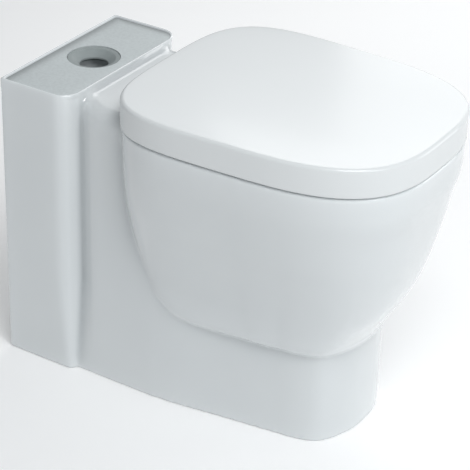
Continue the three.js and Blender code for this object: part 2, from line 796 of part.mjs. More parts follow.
const lidBufferPlaces = bufferPlaces.map(([x, y]) => [x * (1 - lidWall / lidHalfWidth), y]);

// Grey foam pad that fills the recess, pierced for the inlet seal
const padLow = recessFloor + seatGap;
const padTop = padLow + padThickness;

function cisternGasket() {
  const depth = lipWidth + padSideGap;
  const pad = solid(loft([
    boxRing(padLow, boxCornerRadius - depth, depth),
    boxRing(padTop, boxCornerRadius - depth, depth),
  ]));
  const hole = uprightBar(sealRadius + padSideGap, 0, inletY, padLow - cutOverrun, padTop + cutOverrun);
  return pad.subtract(solid(hole));
}

// Rubber inlet seal: a flange on the recess floor, a dished mouth and a skirt in the inlet
function inletSeal() {
  const low = padLow;
  const top = low + sealFlange;
  const skirtRadius = inletRadius - seatGap;
  return turned([
    [sealBore, top - sealDish - sealWall],
    [skirtRadius - sealWall, low - sealWall * 1.5],
    [skirtRadius - sealWall, low - sealSkirt],
    [skirtRadius, low - sealSkirt],
    [skirtRadius, low],
    [sealRadius, low],
    [sealRadius, top - sealWall / 3],
    [sealRadius - sealWall / 3, top],
    [skirtRadius - sealWall, top - sealWall / 3],
    [sealBore, top - sealDish],
  ], 0, inletY);
}

const toilet = new THREE.Group();
toilet.name = 'toilet';
toilet.position.y = (lidFront - boxBack) / 2;

function place(name, body, material) {
  const mesh = new THREE.Mesh(surface(body), material);
  mesh.name = name;
  toilet.add(mesh);
}

place('pan', pan(), glaze);
place('bowl', bowlShell(), glaze);
place('trapway', trapway(), glaze);
place('flush_way', flushCasing(), glaze);
place('outlet_spigot', outletSpigot(), glaze);
place('lid', lid(), thermoset);
place('seat', seat(), thermoset);
for (const [hand, side] of [['left', -1], ['right', 1]]) {
  const x = side * hingeX;
  place(`hinge_base_${hand}`, hingeBase(x), chrome);
  place(`hinge_pin_${hand}`, hingePin(side), steel);
  place(`hinge_gasket_${hand}`, hingeGasket(x), clearRubber);
  place(`stud_${hand}`, stud(x), steel);
  place(`cone_washer_${hand}`, coneWasher(x), clearRubber);
  place(`flat_washer_${hand}`, flatWasher(x), steel);
  place(`wing_nut_${hand}`, wingNut(x), nylon);
}
const corners = ['rear_right', 'rear_left', 'front_right', 'front_left'];
corners.forEach((name, i) => place(`seat_buffer_${name}`, seatBuffer(bufferPlaces[i]), clearRubber));
corners.forEach((name, i) => place(`lid_buffer_${name}`, lidBuffer(lidBufferPlaces[i]), clearRubber));
place('cistern_gasket', cisternGasket(), foam);
place('inlet_seal', inletSeal(), greyRubber);

export default toilet;
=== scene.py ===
import math

import bmesh
import bpy
import numpy as np
from mathutils import Matrix, Vector


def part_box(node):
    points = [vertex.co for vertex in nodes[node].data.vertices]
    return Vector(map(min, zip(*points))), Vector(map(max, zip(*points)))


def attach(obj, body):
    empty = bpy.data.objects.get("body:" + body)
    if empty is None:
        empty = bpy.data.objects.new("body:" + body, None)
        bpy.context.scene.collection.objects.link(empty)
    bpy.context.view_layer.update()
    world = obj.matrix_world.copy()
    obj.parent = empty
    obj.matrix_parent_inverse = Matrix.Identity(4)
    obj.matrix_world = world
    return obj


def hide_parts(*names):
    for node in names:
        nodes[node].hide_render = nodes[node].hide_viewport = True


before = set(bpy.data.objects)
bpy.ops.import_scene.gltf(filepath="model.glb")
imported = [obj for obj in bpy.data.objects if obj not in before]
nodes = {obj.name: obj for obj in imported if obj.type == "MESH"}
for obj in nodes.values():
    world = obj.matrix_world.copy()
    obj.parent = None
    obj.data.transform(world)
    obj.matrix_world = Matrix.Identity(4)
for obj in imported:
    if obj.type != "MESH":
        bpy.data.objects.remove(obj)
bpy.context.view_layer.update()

TURN, QUARTER = 2 * math.pi, math.pi / 2

# ---------------------------------------------------------------- sizes, in millimetres
# Heights are from the floor. Y is 0 at the middle of the bowl and grows towards the box; SHIFT moves it
# into the shared frame. GAP is the room between pieces that stand on one another.
GAP = 0.3
RIM, RIM_EDGE, TUB_FOOT, WALL = 422.0, 2.0, 139.0, 10.0
# half width, reach to the front and the rear, powers of their curves, and how much narrower the front is
TUB = dict(half=173.5, front=211.0, rear=209.0, pf=3.05, pr=3.9, taper=0.045)
LID = dict(half=175.0, front=212.0, rear=211.0, pf=3.05, pr=3.9, taper=0.045)
TUB_SIDE, TUB_FRONT, TUB_REAR = 68.7, 82.4, 60.7
TUB_REAR_POWER, TUB_REAR_TAPER = 1.1, 0.105
# drop below the rim as a share, then shares of the side, front and rear draws
TUB_DRAW = [(1, 1, 1, 1), (0.992, 0.951, 0.983, 0.932), (0.975, 0.901, 0.959, 0.837),
            (0.94, 0.847, 0.888, 0.692), (0.88, 0.795, 0.771, 0.428), (0.8, 0.726, 0.602, 0.305),
            (0.68, 0.59, 0.426, 0.171), (0.54, 0.408, 0.291, 0.089), (0.4, 0.226, 0.192, 0.043),
            (0.26, 0.103, 0.106, 0.02), (0.12, 0.017, 0.007, 0.007), (0, 0, 0, 0)]
# the front half of the tub's foot, as shares of its half width and of its reach to the front
TUB_FOOT_PLAN = [(1, 0), (0.952, 0.298), (0.922, 0.486), (0.887, 0.617), (0.84, 0.721), (0.775, 0.798),
                 (0.674, 0.859), (0.538, 0.913), (0.367, 0.963), (0.193, 0.991), (0, 1)]
FOOT_REACH = [(math.atan2(y, x), math.hypot(x, y)) for x, y in TUB_FOOT_PLAN]
SKIRT_HALF, SKIRT_FRONT, SKIRT_WAIST = 123.0, 127.5, 150.0
# shares of the half width and of the way from the front to the waist
SKIRT_PLAN = [(0, 0), (0.163, 0.004), (0.31, 0.017), (0.455, 0.04), (0.57, 0.065), (0.655, 0.093),
              (0.71, 0.128), (0.75, 0.176), (0.78, 0.236), (0.805, 0.3225), (0.846, 0.46),
              (0.886, 0.596), (0.935, 0.74), (0.976, 0.87), (1, 1)]
GROOVE_LONG, GROOVE_DEEP, GROOVE_FADE, DECK_ROLL = 40.0, 17.0, 145.0, 21.0
GROOVE = [(0, 0), (0.3, 0.1), (0.6, 0.42), (0.82, 0.78), (1, 1)]
BOX_HALF, BOX_FRONT, BOX_BACK, BOX_TOP = 133.5, 278.0, 393.5, 433.0
BOX_ROUND, BOX_FOOT_ROUND, BOX_EDGE, COVE = 28.0, 12.0, 1.2, 10.0
LIP, RECESS = 4.0, 7.0
RECESS_FLOOR = BOX_TOP - RECESS
DECK_LOW = RIM - 18.0
SHIFT = (LID["front"] - BOX_BACK) / 2
BOWL_DEEP, BOWL_HALF, BOWL_FRONT, BOWL_REAR = 250.0, 133.0, 172.0, 120.0
# drop below the rim as a share, then shares of the half width and of the reach to the front and the rear
BOWL = [(1, 0.28, 0.06, 0.5), (0.87, 0.345, 0.2, 0.58), (0.74, 0.45, 0.37, 0.68),
        (0.56, 0.635, 0.585, 0.82), (0.36, 0.815, 0.8, 0.92), (0.16, 0.95, 0.95, 0.98),
        (0.04, 0.99, 0.99, 0.995), (0, 1, 1, 1)]
SUMP = RIM - BOWL_DEEP
TRAP, TRAP_RUN, TRAP_DIP, TRAP_RISE = 28.0, 42.0, 44.0, 78.0
OUTLET_Z, OUTLET_ROUND, OUTLET_BORE = 180.0, 51.0, 42.0
OUTLET_END = BOX_BACK - 18.0
OUTLET_START = OUTLET_END - 78.0
INLET_ROUND, INLET_Y = 34.0, BOX_BACK - 60.0
DUCT_HALF, DUCT_FLOOR, DUCT_TALL = 34.0, RIM - 56.0, 32.0
LID_LOW, LID_TOP, LID_WALL = RIM + 2, RIM + 42, 4.5
LID_UNDER = LID_TOP - 5
LID_EDGE, LID_CROWN, LID_FLAT = 5.0, 1.2, 87.5
LID_LIP_OUT, LID_LIP_IN, LID_FILLET = 0.7, 0.8, 3.0
# at the rear, the lip of the lid's band is raised over this half width, with a ramp at both ends
BAND_HALF, BAND_RAMP, BAND_REAR = 138.0, 3.0, 150.0
SEAT_LOW, SEAT_TOP, SEAT_EDGE = RIM + 4.3, RIM + 26.3, 5.0
SEAT_HOLE = dict(half=112.0, front=148.0, rear=112.0, pf=2.3, pr=2.7, middle=-18.0)
BUFFER_ROUND, BUFFER_SINK = 8.0, 2.4
BUFFER_PLACES = {"rear_right": (150, 45), "rear_left": (-150, 45),
                 "front_right": (71.75, -187), "front_left": (-71.75, -187)}
HINGE_X, HINGE_Y, HINGE_Z, HINGE_ROUND = 77.5, 194.0, RIM + 24, 9.0
POST_HALF, LUG_NEAR, LUG_FAR = 7.0, 7.6, 15.6
PIN, BORE, BOLT_HOLE = 4.0, 4.3, 7.5
BASE_ROUND, GASKET_TALL = 17.0, 1.2
BASE_LOW = RIM + GAP + GASKET_TALL + GAP
BASE_TOP = BASE_LOW + 3
STUD_TOP = BASE_LOW + 10
CONE_TOP = DECK_LOW - GAP
CONE_LOW = CONE_TOP - 8
WASHER_TOP = CONE_LOW - GAP
WASHER_LOW = WASHER_TOP - 2
NUT_TOP = WASHER_LOW - GAP
NUT_LOW = NUT_TOP - 10
STUD_LOW = NUT_LOW - 8
PITCH, THREAD, CHAMFER, RUNOUT = 1.25, 0.55, 0.8, 3.0
PAD_SIDE, PAD_TALL, PAD_HOLE = LIP + 0.5, 4.0, 37.5
CELL = 0.0024
FLOOR_HALF, FLOOR_DROP = 9000, 0.6


# ---------------------------------------------------------------- curves and rings
def monotone(points, at):
    """Smooth curve through points, without overshoot."""
    points = sorted(points)
    x = np.array([p[0] for p in points], float)
    y = np.array([p[1] for p in points], float)
    h, d = np.diff(x), np.diff(y) / np.diff(x)
    m = np.zeros(len(x))
    for i in range(1, len(x) - 1):
        if d[i - 1] * d[i] > 0:
            a, b = 2 * h[i] + h[i - 1], h[i] + 2 * h[i - 1]
            m[i] = (a + b) / (a / d[i - 1] + b / d[i])
    m[0], m[-1] = d[0], d[-1]
    at = np.clip(np.asarray(at, float), x[0], x[-1])
    i = np.clip(np.searchsorted(x, at) - 1, 0, len(x) - 2)
    t = (at - x[i]) / h[i]
    return ((1 + 2 * t) * (1 - t) ** 2 * y[i] + t * (1 - t) ** 2 * h[i] * m[i]
            + t * t * (3 - 2 * t) * y[i + 1] + t * t * (t - 1) * h[i] * m[i + 1])


def shares(table, drop):
    """The three shares of a table of rows at a drop below the rim."""
    return [float(monotone([(row[0], row[k]) for row in table], drop)) for k in (1, 2, 3)]


def fade(value, start, end):
    """0 at start and before it, 1 at end and past it, even between."""
    t = np.clip((value - start) / (end - start), 0, 1)
    return t * t * (3 - 2 * t)


def through(q, count):
    """Steps on a curve through all points of q but its first and last, short of the curve's end."""
    path = []
    for p0, p1, p2, p3 in zip(q, q[1:], q[2:], q[3:]):
        v0, v1 = (p2 - p0) / 2, (p3 - p1) / 2
        for t in np.linspace(0, 1, count)[:-1]:
            path.append((2 * p1 - 2 * p2 + v0 + v1) * t ** 3 + (-3 * p1 + 3 * p2 - 2 * v0 - v1) * t * t
                        + v0 * t + p1)
    return path


def bend(a, b, c, steps):
    """Points from a to c on a curve that is drawn to b."""
    return [(1 - t) ** 2 * a + 2 * t * (1 - t) * b + t * t * c for t in steps]


def roll(radius, count):
    """Steps [in, up] round a quarter of an edge, from its side to its top."""
    return [(radius * (1 - math.cos(a)), radius * math.sin(a)) for a in np.linspace(0, QUARTER, count)]


def spread(path, count, closed=False):
    """The same path with its points evenly spaced."""
    path = np.asarray(path, float)
    if closed:
        path = np.vstack([path, path[:1]])
    run = np.concatenate([[0], np.cumsum(np.linalg.norm(np.diff(path, axis=0), axis=1))])
    at = np.linspace(0, run[-1], count + 1)[:count] if closed else np.linspace(0, run[-1], count)
    return np.column_stack([np.interp(at, run, path[:, k]) for k in range(path.shape[1])])


def plan(form, depth=0.0, count=110):
    """Rounded plan outline, anticlockwise from +X, drawn in by a depth, with count points to a quarter."""
    half, front, rear = form["half"] - depth, form["front"] - depth, form["rear"] - depth
    middle, taper, foot = (form.get(key, 0.0) for key in ("middle", "taper", "foot"))
    u = np.linspace(0, 1, 700)
    a = QUARTER * u * u * (3 - 2 * u)
    parts = []
    for k in range(4):
        at_rear = k < 2
        power = 2 / form["pr" if at_rear else "pf"]
        c, s = np.cos(a), np.sin(a)
        if k % 2:
            c, s = s, c
        c = np.abs(c) ** power * (1 if k in (0, 3) else -1)
        s = np.abs(s) ** power * (1 if at_rear else -1)
        y = middle + (rear - middle if at_rear else front + middle) * s
        x = half * (1 + (form.get("rear_taper", taper) if at_rear else taper) * y / front) * c
        if foot > 0 and not at_rear:
            turn = np.arctan2(-s, np.abs(c))
            reach = monotone(FOOT_REACH, turn)
            x += foot * (np.sign(c) * half * reach * np.cos(turn) - x)
            y += foot * (middle - (front + middle) * reach * np.sin(turn) - y)
        parts.append(spread(np.column_stack([x, y]), count + 1)[:-1])
    return np.vstack(parts)


def at_height(ring, z):
    return np.column_stack([ring, np.broadcast_to(z, len(ring))])


def offset(ring, depth):
    """A closed plan outline moved in along its own normals."""
    along = np.roll(ring, -1, axis=0) - np.roll(ring, 1, axis=0)
    out = np.column_stack([along[:, 1], -along[:, 0]])
    out /= np.linalg.norm(out, axis=1)[:, None]
    return ring - depth * out


def clipped(ring, rear, radius, count):
    """A plan outline cut straight across at the rear, with rounded corners."""
    x, y = ring.T
    last = np.argmax(np.where((y <= rear) & (x < 0), y, -np.inf))
    order = np.roll(ring, -last, axis=0)
    order = order[order[:, 1] <= rear - radius]
    left, right = order[0], order[-1]
    edge = -np.interp(rear, [left[1], left[1] + 60], [left[0], left[0] + 4])
    steps = np.linspace(0, 1, 12)[1:-1]
    into = bend(right, np.array([edge, rear]), np.array([edge - radius, rear]), steps)
    straight = [(x, rear) for x in np.linspace(edge - radius, radius - edge, 40)]
    back = bend(np.array([radius - edge, rear]), np.array([-edge, rear]), left, steps)
    return spread(np.vstack([order, into, straight, back]), count, closed=True)


def by_angle(ring, centre, count):
    """A closed outline resampled at even angles round a centre."""
    x, y = (ring - centre).T
    angle = np.arctan2(y, x) % TURN
    order = np.argsort(angle)
    angle, ring = angle[order], ring[order]
    angle = np.concatenate([angle[-1:] - TURN, angle, angle[:1] + TURN])
    ring = np.vstack([ring[-1:], ring, ring[:1]])
    at = np.linspace(0, TURN, count + 1)[:-1]
    return np.column_stack([np.interp(at, angle, ring[:, k]) for k in (0, 1)])


def section(inner, outer, low, high):
    """Outline [radius, height] of a plain ring, or of a rod where inner is 0."""
    return [(inner, low), (outer, low), (outer, high), (inner, high)]


def rounded(outline, radius, steps=4):
    """A closed outline with its corners rounded; corners on the axis stay."""
    pts = [np.array(p, float) for p in outline]
    out = []
    for i, p in enumerate(pts):
        a, b = pts[i - 1], pts[(i + 1) % len(pts)]
        la, lb = np.linalg.norm(a - p), np.linalg.norm(b - p)
        r = min(radius, 0.45 * la, 0.45 * lb)
        if p[0] < 1e-6 or r < 1e-3:
            out.append(p)
        else:
            start, end = p + (a - p) / la * r, p + (b - p) / lb * r
            out += bend(start, p, end, [k / steps for k in range(steps + 1)])
    return out


# ---------------------------------------------------------------- meshes
def new_object(name, verts, faces):
    mesh = bpy.data.meshes.new(name)
    verts = (np.asarray(verts, float) + (0, SHIFT, 0)) / 1000
    mesh.from_pydata([tuple(v) for v in verts], [], [tuple(int(i) for i in f) for f in faces])
    mesh.update()
    mesh.polygons.foreach_set("use_smooth", np.ones(len(mesh.polygons), bool))
    obj = bpy.data.objects.new(name, mesh)
    bpy.context.scene.collection.objects.link(obj)
    return obj


def loft(name, rings, wrap=False):
    """Skin through rings of equal count, anticlockwise and from the bottom up, closed at both ends; wrap
    joins the last ring to the first instead."""
    n, count = len(rings[0]), len(rings)
    verts = np.vstack(rings)
    faces = []
    for k in range(count if wrap else count - 1):
        low, high = k * n, ((k + 1) % count) * n
        for j in range(n):
            i = (j + 1) % n
            faces.append((low + j, low + i, high + i, high + j))
    if not wrap:
        verts = np.vstack([verts, rings[0].mean(0), rings[-1].mean(0)])
        a, b, top = len(verts) - 2, len(verts) - 1, (count - 1) * n
        for j in range(n):
            i = (j + 1) % n
            faces += [(a, i, j), (b, top + j, top + i)]
    return new_object(name, verts, faces)


def turned(name, outline, place, steps=64, axis="Z"):
    """Closed [radius, height] outline turned round an axis; points on the axis are shared."""
    verts, faces, rows = [], [], []
    for r, h in outline:
        if r < 1e-6:
            rows.append([len(verts)] * steps)
            verts.append((0, 0, h))
        else:
            rows.append(list(range(len(verts), len(verts) + steps)))
            for k in range(steps):
                a = TURN * k / steps
                verts.append((r * math.cos(a), r * math.sin(a), h))
    for low, high in zip(rows, rows[1:] + rows[:1]):
        if low[0] == low[1] and high[0] == high[1]:
            continue
        for j in range(steps):
            i = (j + 1) % steps
            face = list(dict.fromkeys((low[j], low[i], high[i], high[j])))
            if len(face) > 2:
                faces.append(face)
    order = {"X": [2, 0, 1], "Y": [1, 2, 0], "Z": [0, 1, 2]}[axis]
    return new_object(name, np.array(verts, float)[:, order] + place, faces)


def upright(name, radius, x, y, low, high, steps=64):
    return turned(name, section(0, radius, low, high), (x, y, 0), steps)


def bar_x(name, radius, low, high):
    """A rod on the hinge's axis."""
    return turned(name, section(0, radius, low, high), (0, HINGE_Y, HINGE_Z), 48, "X")


def bar_y(name, radius, low, high):
    """A rod on the outlet's axis."""
    return turned(name, section(0, radius, low, high), (0, 0, OUTLET_Z), 72, "Y")


def block(name, low, high):
    (x0, y0, z0), (x1, y1, z1) = low, high
    ring = np.array([(x0, y0), (x1, y0), (x1, y1), (x0, y1)])
    return loft(name, [at_height(ring, z0), at_height(ring, z1)])


def side_plate(name, outline, low, high):
    """A side outline of [y, z] points, anticlockwise seen from +X, spread along X."""
    n = len(outline)
    verts = [(x, y, z) for x in (low, high) for y, z in outline]
    faces = [list(range(n))[::-1], list(range(n, 2 * n))]
    faces += [(k, (k + 1) % n, n + (k + 1) % n, n + k) for k in range(n)]
    return new_object(name, verts, faces)


def bake(obj):
    """Applies the object's modifiers."""
    made = bpy.data.meshes.new_from_object(obj.evaluated_get(bpy.context.evaluated_depsgraph_get()))
    obj.modifiers.clear()
    obj.data = made


def combine(obj, tool, operation):
    mod = obj.modifiers.new("combine", "BOOLEAN")
    mod.operation, mod.object, mod.solver = operation, tool, "MANIFOLD"
    bake(obj)
    bpy.data.objects.remove(tool)
    return obj


def smooth_shade(obj, angle=32):
    """Smooth shading with the edges sharper than the angle kept crisp."""
    mesh = obj.data
    mesh.polygons.foreach_set("use_smooth", np.ones(len(mesh.polygons), bool))
    bm = bmesh.new()
    bm.from_mesh(mesh)
    for edge in bm.edges:
        edge.smooth = not (len(edge.link_faces) == 2 and edge.calc_face_angle(0) > math.radians(angle))
    bm.to_mesh(mesh)
    bm.free()
    return obj


def read_points(mesh, key="co"):
    values = np.zeros(len(mesh.vertices) * 3)
    mesh.vertices.foreach_get(key, values)
    return values.reshape(-1, 3)


def write_points(mesh, co):
    mesh.vertices.foreach_set("co", co.ravel())
    mesh.update()


def neighbours(mesh):
    """A function that gives the mean of each point's neighbours."""
    edges = np.zeros(len(mesh.edges) * 2, int)
    mesh.edges.foreach_get("vertices", edges)
    a, b = edges.reshape(-1, 2).T
    count = np.bincount(np.concatenate([a, b]), minlength=len(mesh.vertices)).clip(1)

    def mean(co):
        return np.column_stack([
            (np.bincount(a, co[b, i], len(co)) + np.bincount(b, co[a, i], len(co))) / count
            for i in range(3)
        ])

    return mean


def relax(obj, rounds, weight):
    """Evens out a dense mesh without shrinking it; weight is a function of the points, 0 to 1."""
    co, mean = read_points(obj.data), neighbours(obj.data)
    w = weight(co)
    for k in range(rounds):
        for pull in (0.55, -0.565) if k % 3 == 2 else (0.5,):
            co += (pull * w)[:, None] * (mean(co) - co)
    write_points(obj.data, co)


def soften(obj, rounds, wide, depth, weight):
    """Moves the points to a much evened skin by weight, a function of the points, 0 to 1. How deep each
    point lay in a hollow, -1 on a ridge to 1, against a still more evened skin, is kept as hollow; the
    glaze paints shade in hollows and highlight on ridges from it."""
    mesh = obj.data
    co, normal, mean = read_points(mesh), read_points(mesh, "normal"), neighbours(mesh)
    even = co.copy()
    for k in range(wide):
        even += 0.9 * (mean(even) - even)
        if k == rounds:
            target = even.copy()
    deep = np.einsum("ij,ij->i", even - co, normal) / depth
    layer = mesh.attributes.new("hollow", "FLOAT", "POINT")
    layer.data.foreach_set("value", np.clip(deep, -1, 1))
    co += weight(co)[:, None] * (target - co)
    write_points(mesh, co)


def held_in(obj, *names):
    """Keeps a piece inside the box of the CAD nodes that it stands for."""
    names = [n for n in names if n in nodes]
    low = np.min([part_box(n)[0] for n in names], axis=0)
    high = np.max([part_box(n)[1] for n in names], axis=0)
    write_points(obj.data, np.clip(read_points(obj.data), low, high))


def finish_piece(obj, body, slot, look, *names):
    held_in(obj, *names)
    obj.data.materials.clear()
    obj.data.materials.append(look)
    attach(obj, body)
    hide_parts(*[n for n in names if n in nodes])


# ---------------------------------------------------------------- materials
def material(name, **values):
    mat = bpy.data.materials.new(name)
    mat.use_nodes = True
    tree = mat.node_tree
    shader = tree.nodes["Principled BSDF"]
    for key, value in values.items():
        shader.inputs[key.replace("_", " ")].default_value = value
    return mat, tree, shader


def noise(tree, scale, detail=2.0, rough=0.5, stretch=(1, 1, 1)):
    coords = tree.nodes.new("ShaderNodeTexCoord")
    mapping = tree.nodes.new("ShaderNodeMapping")
    mapping.inputs["Scale"].default_value = stretch
    made = tree.nodes.new("ShaderNodeTexNoise")
    made.inputs["Scale"].default_value = scale
    made.inputs["Detail"].default_value = detail
    made.inputs["Roughness"].default_value = rough
    tree.links.new(coords.outputs["Object"], mapping.inputs["Vector"])
    tree.links.new(mapping.outputs["Vector"], made.inputs["Vector"])
    return made.outputs["Fac"]


def ramp(tree, source, stops):
    made = tree.nodes.new("ShaderNodeValToRGB")
    band = made.color_ramp
    while len(band.elements) < len(stops):
        band.elements.new(0.5)
    for element, (place, colour) in zip(band.elements, stops):
        element.position = place
        element.color = (*colour, 1)
    tree.links.new(source, made.inputs["Fac"])
    return made.outputs["Color"]


def two_tone(tree, source, colour, share):
    """A colour that drifts down to a share of itself with a noise."""
    return ramp(tree, source, [(0.3, tuple(c * share for c in colour)), (0.7, colour)])


def spans(tree, source, low, high, first=0.0, last=1.0):
    made = tree.nodes.new("ShaderNodeMapRange")
    for key, value in (("From Min", low), ("From Max", high), ("To Min", first), ("To Max", last)):
        made.inputs[key].default_value = value
    tree.links.new(source, made.inputs["Value"])
    return made.outputs["Result"]


def multiplied(tree, first, second):
    made = tree.nodes.new("ShaderNodeMix")
    made.data_type, made.blend_type = "RGBA", "MULTIPLY"
    made.inputs["Factor"].default_value = 1.0
    tree.links.new(first, made.inputs["A"])
    tree.links.new(second, made.inputs["B"])
    return made.outputs["Result"]


def bump(tree, shader, layers):
    """Bump layers one on another: (height source, depth in metres, strength)."""
    before = None
    for source, depth, strength in layers:
        made = tree.nodes.new("ShaderNodeBump")
        made.inputs["Distance"].default_value = depth
        made.inputs["Strength"].default_value = strength
        tree.links.new(source, made.inputs["Height"])
        if before:
            tree.links.new(before, made.inputs["Normal"])
        before = made.outputs["Normal"]
    tree.links.new(before, shader.inputs["Normal"])


def dress(tree, shader, colour, rough, layers):
    """Colour from a source, roughness from a noise that spans two values, and bump layers."""
    source, low, high = rough
    tree.links.new(colour, shader.inputs["Base Color"])
    tree.links.new(spans(tree, source, 0.3, 0.7, low, high), shader.inputs["Roughness"])
    bump(tree, shader, layers)


def glazed():
    """White glaze with painted shade, darker in hollows and creases, and painted highlight, lighter on
    ridges and edges.
    """
    mat, tree, shader = material("white_glaze", IOR=1.5, Coat_Weight=0.6, Coat_Roughness=0.08)
    glaze = ramp(tree, noise(tree, 5.0, 3.0), [(0.3, (0.775, 0.808, 0.820)), (0.7, (0.808, 0.839, 0.847))])
    hollow = tree.nodes.new("ShaderNodeAttribute")
    hollow.attribute_name = "hollow"
    # painted shade and highlight: the base colour is darkened where a point lies deep in a hollow and
    # lightened on ridges
    painted_shade_and_highlight = ramp(tree, spans(tree, hollow.outputs["Fac"], -1, 1),
                [(0.0, (1, 1, 1)), (0.5, (0.909, 0.909, 0.909)), (1.0, (0.615, 0.633, 0.643))])
    dress(tree, shader, multiplied(tree, glaze, painted_shade_and_highlight), (noise(tree, 14.0, 3.0), 0.10, 0.17),
          [(noise(tree, 9.0, 1.0), 0.0012, 0.25), (noise(tree, 420.0, 2.0), 0.00004, 0.2)])
    return mat


def moulded(name, colour, rough, shine=0.3):
    mat, tree, shader = material(name, IOR=1.5, Coat_Weight=shine, Coat_Roughness=0.12)
    dress(tree, shader, two_tone(tree, noise(tree, 4.0), colour, 0.975),
          (noise(tree, 12.0, 1.0), rough * 0.92, rough * 1.08),
          [(noise(tree, 900.0), 0.00001, 0.1), (noise(tree, 7.0, 1.0), 0.0006, 0.12)])
    return mat


def metal(name, colour, rough, stretch):
    mat, tree, shader = material(name, Metallic=1.0)
    grain = noise(tree, 260.0, 3.0, 0.6, stretch)
    dress(tree, shader, two_tone(tree, grain, colour, 0.88), (grain, rough * 0.7, rough * 1.3),
          [(grain, 0.00002, 0.2)])
    return mat


def rubber(name, colour, rough, see=0.0):
    mat, tree, shader = material(name, IOR=1.45, Transmission_Weight=see)
    tone = noise(tree, 90.0, 3.0)
    dress(tree, shader, two_tone(tree, tone, colour, 0.9), (tone, rough * 0.85, rough),
          [(noise(tree, 1500.0), 0.00005, 0.4)])
    return mat


def foam():
    """Closed-cell pad: fine cells, and painted shade: darker towards the rear and right edges, under the
    lip.
    """
    mat, tree, shader = material("grey_foam", IOR=1.4)
    coords = tree.nodes.new("ShaderNodeTexCoord")
    cells = tree.nodes.new("ShaderNodeTexVoronoi")
    cells.inputs["Scale"].default_value = 900.0
    tree.links.new(coords.outputs["Object"], cells.inputs["Vector"])
    parts = tree.nodes.new("ShaderNodeSeparateXYZ")
    tree.links.new(coords.outputs["Object"], parts.inputs["Vector"])
    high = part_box("cistern_gasket")[1]
    # painted shade: a mask that grows towards the pad's rear and right edges, where the lip shades it
    shade_mask = tree.nodes.new("ShaderNodeMath")
    shade_mask.operation = "MAXIMUM"
    tree.links.new(spans(tree, parts.outputs["Y"], high.y - 0.020, high.y), shade_mask.inputs[0])
    tree.links.new(spans(tree, parts.outputs["X"], high.x - 0.016, high.x), shade_mask.inputs[1])
    tone_with_painted_shade = ramp(tree, shade_mask.outputs[0], [(0.0, (0.59, 0.63, 0.635)), (0.35, (0.54, 0.575, 0.58)),
                                         (1.0, (0.31, 0.33, 0.335))])
    speck = ramp(tree, noise(tree, 240.0, 3.0), [(0.35, (0.93, 0.93, 0.93)), (0.65, (1, 1, 1))])
    dress(tree, shader, multiplied(tree, tone_with_painted_shade, speck), (noise(tree, 50.0), 0.8, 0.95),
          [(cells.outputs["Distance"], 0.0002, 0.35)])
    return mat


GLAZE = glazed()
PLASTIC = moulded("white_thermoset", (0.775, 0.798, 0.802), 0.24)
NYLON = moulded("white_nylon", (0.76, 0.76, 0.74), 0.45, 0.0)
CHROME = metal("bright_chrome", (0.80, 0.81, 0.82), 0.09, (1, 1, 1))
STEEL = metal("plain_steel", (0.55, 0.56, 0.57), 0.32, (1, 1, 12))
CLEAR = rubber("clear_rubber", (0.80, 0.82, 0.81), 0.4, 0.35)
SEAL = rubber("grey_rubber", (0.31, 0.345, 0.345), 0.62)
FOAM = foam()


# ---------------------------------------------------------------- the casting
def tub(depth=0.0, top=RIM):
    rings = []
    for drop in np.concatenate([np.linspace(1, 0.8, 26), np.linspace(0.79, 0.02, 46)]):
        z = RIM - drop * (RIM - TUB_FOOT)
        if z > top - 3:
            break
        side, front, rear = shares(TUB_DRAW, drop)
        form = dict(TUB, half=TUB["half"] - TUB_SIDE * side, front=TUB["front"] - TUB_FRONT * front,
                    rear=TUB["rear"] - TUB_REAR * rear, foot=front, pr=TUB["pr"] + TUB_REAR_POWER * front,
                    rear_taper=TUB["taper"] + TUB_REAR_TAPER * front)
        rings.append(at_height(plan(form, depth), z))
    if depth:
        rings.append(at_height(plan(TUB, depth), top))
    else:
        rings += [at_height(plan(TUB, inward), RIM - RIM_EDGE + up) for inward, up in roll(RIM_EDGE, 5)]
    return loft("tub", rings)


def skirt_ring(z, depth, groove):
    """The skirt's outline, with a share of the upright hollow before the box."""
    across, along = np.array(SKIRT_PLAN, float).T
    q = np.column_stack([across * (SKIRT_HALF - depth),
                         depth - SKIRT_FRONT + along * (SKIRT_FRONT + SKIRT_WAIST - depth)])
    curve = through(np.vstack([q[0], q, q[-1]]), 12)
    along = np.linspace(0, 1, 24)
    for a, deep in zip(along, monotone(GROOVE, along)):
        curve.append((SKIRT_HALF - depth - deep * groove * GROOVE_DEEP,
                      BOX_FRONT - GROOVE_LONG + a * GROOVE_LONG))
    curve.append((curve[-1][0], BOX_FRONT + BOX_ROUND))
    right = spread(np.array(curve), 260)
    left = right[1:][::-1] * (-1, 1)
    return at_height(np.vstack([right, left]), z)


def skirt(depth=0.0, top=RIM):
    rings = [skirt_ring(-1.0 if depth else 0.0, depth, 0.0)]
    rings += [skirt_ring(z, depth, z / GROOVE_FADE) for z in np.linspace(5, GROOVE_FADE, 24)]
    if depth:
        rings.append(skirt_ring(top, depth, 1.0))
    else:
        edge = RIM - DECK_ROLL
        rings += [skirt_ring(z, 0.0, 1.0) for z in np.linspace(GROOVE_FADE + 20, edge, 12)]
        rings += [skirt_ring(edge + up, inward, 1.0) for inward, up in roll(DECK_ROLL, 9)[1:]]
    return loft("skirt", rings)


def box_ring(z, depth=0.0, corner=BOX_ROUND, back=None):
    """The box's outline drawn in by a depth; corner is the rounding before that."""
    half, front, radius = BOX_HALF - depth, BOX_FRONT + depth, corner - depth
    back = BOX_BACK - depth if back is None else back
    ring = [(half, back), (-half, back)]
    for side, start in ((-1, math.pi), (1, 1.5 * math.pi)):
        for a in np.linspace(start, start + QUARTER, 20):
            ring.append((side * (half - radius) + radius * math.cos(a),
                         front + radius + radius * math.sin(a)))
    return at_height(np.array(ring), z)


